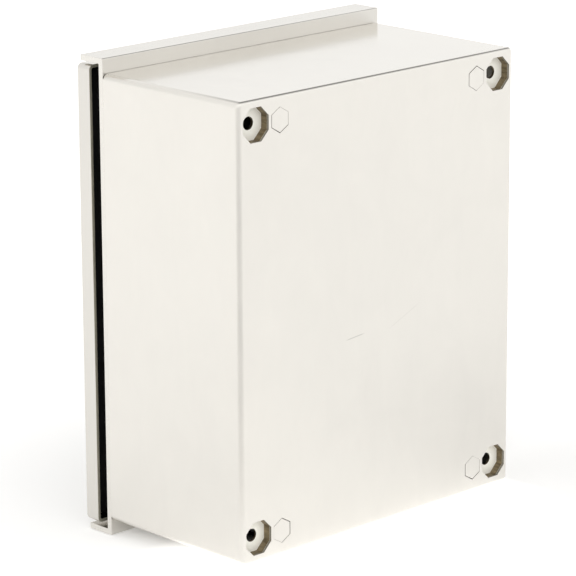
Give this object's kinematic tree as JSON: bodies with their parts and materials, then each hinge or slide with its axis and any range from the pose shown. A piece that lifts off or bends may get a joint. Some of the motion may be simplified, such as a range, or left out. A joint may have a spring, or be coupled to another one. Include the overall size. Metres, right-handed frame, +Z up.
{
  "type": "meter socket enclosure",
  "caption": "Wall-mounting stainless steel box for a plug-in meter, with a hinged gasketed door, rain lips, rear mounting cups, and a meter socket on a mounting plate inside.",
  "frame": {"origin": "centre of the rear face, where the box rests on the wall", "axes": "+Z up, +Y out of the rear face into the wall, +X to the right for someone facing the door"},
  "size_m": [0.2603, 0.1659, 0.32],
  "materials": {
    "stainless_steel": "fine satin brushed",
    "zinc_plated_steel": "zinc plated, satin",
    "tinned_copper": "tin plated",
    "aluminium": "extruded, satin",
    "brass": "machined",
    "black_rubber": "foamed, matt",
    "moulded_insulator": "moulded, matt",
    "grey_plastic": "moulded, matt",
    "clear_plastic": "clear polycarbonate"
  },
  "bodies": {
    "enclosure": {"body_shell": "stainless_steel", "front_frame": "stainless_steel", "wall_cup_upper_left": "stainless_steel", "wall_cup_upper_right": "stainless_steel", "wall_cup_lower_left": "stainless_steel", "wall_cup_lower_right": "stainless_steel", "plate_standoff_upper_left": "stainless_steel", "plate_standoff_upper_right": "stainless_steel", "plate_standoff_lower_left": "stainless_steel", "plate_standoff_lower_right": "stainless_steel", "mounting_plate": "zinc_plated_steel", "plate_screw_upper_left": "zinc_plated_steel", "plate_screw_upper_right": "zinc_plated_steel", "plate_screw_lower_left": "zinc_plated_steel", "plate_screw_lower_right": "zinc_plated_steel", "socket_bracket": "zinc_plated_steel", "jaw_block_line": "moulded_insulator", "jaw_block_load": "moulded_insulator", "meter_jaw_line_left": "tinned_copper", "meter_jaw_line_right": "tinned_copper", "meter_jaw_load_left": "tinned_copper", "meter_jaw_load_right": "tinned_copper", "wire_lug_line_left": "aluminium", "wire_lug_line_right": "aluminium", "wire_lug_load_left": "aluminium", "wire_lug_load_right": "aluminium", "lug_screw_line_left": "zinc_plated_steel", "lug_screw_line_right": "zinc_plated_steel", "lug_screw_load_left": "zinc_plated_steel", "lug_screw_load_right": "zinc_plated_steel", "neutral_bar": "brass", "neutral_screw_1": "brass", "neutral_screw_2": "brass", "neutral_screw_3": "brass", "earth_stud": "stainless_steel", "earth_washer": "stainless_steel", "earth_nut": "stainless_steel", "gland_gasket": "black_rubber", "gland_plate": "stainless_steel", "gland_plug_left": "grey_plastic", "gland_plug_right": "grey_plastic", "hinge_fixed_leaf_upper": "stainless_steel", "hinge_fixed_leaf_lower": "stainless_steel", "hinge_pin_upper": "stainless_steel", "hinge_pin_lower": "stainless_steel"},
    "door": {"door_panel": "stainless_steel", "door_gasket": "black_rubber", "hinge_door_leaf_upper": "stainless_steel", "hinge_door_leaf_lower": "stainless_steel", "meter_collar": "stainless_steel", "rim_gasket": "black_rubber", "closing_disc": "clear_plastic", "sealing_ring": "stainless_steel", "sealing_ring_screw": "stainless_steel", "lock_housing": "zinc_plated_steel", "lock_nut": "zinc_plated_steel"},
    "lock": {"lock_insert": "zinc_plated_steel", "lock_cam": "zinc_plated_steel", "cam_nut": "zinc_plated_steel"}
  },
  "joints": [
    {"name": "door_hinge", "type": "hinge", "parent": "enclosure", "child": "door", "pos_m": [-0.1303, -0.1319, 0], "axis": [0, 0, -1], "range_deg": [0, 120]},
    {"name": "lock_turn", "type": "hinge", "parent": "door", "child": "lock", "pos_m": [0.088, -0.135, -0.015], "axis": [0, -1, 0], "range_deg": [0, 90]}
  ]
}
